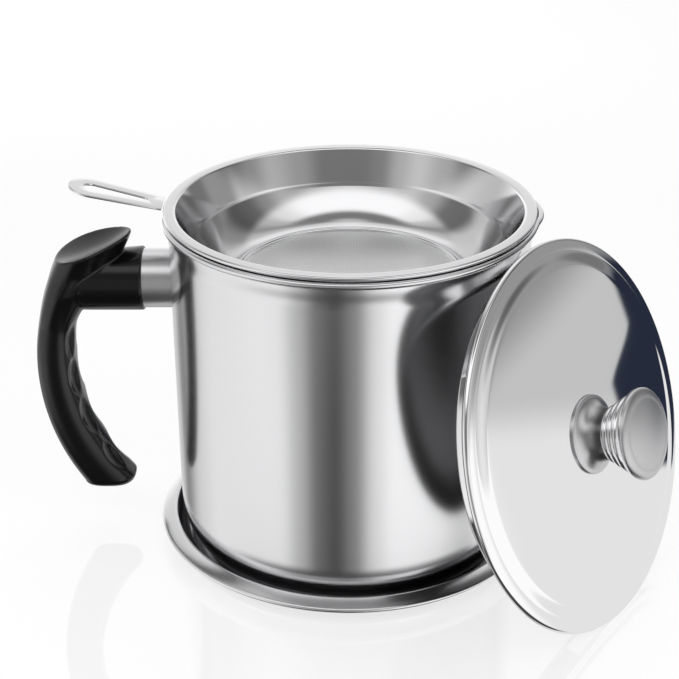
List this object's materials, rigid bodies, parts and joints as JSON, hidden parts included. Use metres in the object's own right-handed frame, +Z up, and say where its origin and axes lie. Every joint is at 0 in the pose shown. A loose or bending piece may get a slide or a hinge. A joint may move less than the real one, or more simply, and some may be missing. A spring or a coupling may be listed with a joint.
{
  "type": "grease container",
  "caption": "Steel grease pot with a curved black handle, drip tray, lift-out strainer with a tab, and a loose shallow-domed lid with a knob.",
  "frame": {"origin": "middle of the drip tray's flat underside, on the table", "axes": "+Z up along the pot's axis, handle towards -X, pouring lip towards +X, lid leaning at the front right (-Y is the front)"},
  "size_m": [0.2588, 0.1937, 0.1498],
  "materials": {
    "satin_steel": "satin, with a fine vertical grain",
    "polished_steel": "mirror polished",
    "mesh_steel": "fine perforated sheet, satin",
    "fastener_steel": "bright zinc",
    "black_bakelite": "satin moulded"
  },
  "bodies": {
    "tray": {"tray": "polished_steel"},
    "pot": {"pot_shell": "satin_steel", "handle_bracket": "fastener_steel", "ferrule": "satin_steel", "grip": "black_bakelite", "grip_screw": "fastener_steel", "screw_washer": "fastener_steel"},
    "strainer": {"strainer_bowl": "polished_steel", "strainer_mesh": "mesh_steel", "mesh_ring": "polished_steel", "strainer_tab": "polished_steel"},
    "lid": {"lid_shell": "polished_steel", "lid_ring": "polished_steel", "knob_base": "polished_steel", "knob_head": "polished_steel", "knob_screw": "fastener_steel", "knob_washer": "fastener_steel"}
  },
  "joints": [
    {"name": "pot_lift", "type": "slide", "parent": "tray", "child": "pot", "axis": [0, 0, 1], "range_m": [0, 0.1]},
    {"name": "strainer_lift", "type": "slide", "parent": "pot", "child": "strainer", "axis": [0, 0, 1], "range_m": [0, 0.1]},
    {"name": "lid_away", "type": "slide", "parent": "tray", "child": "lid", "axis": [0.7644, -0.5574, 0.3239], "range_m": [0, 0.12]}
  ]
}
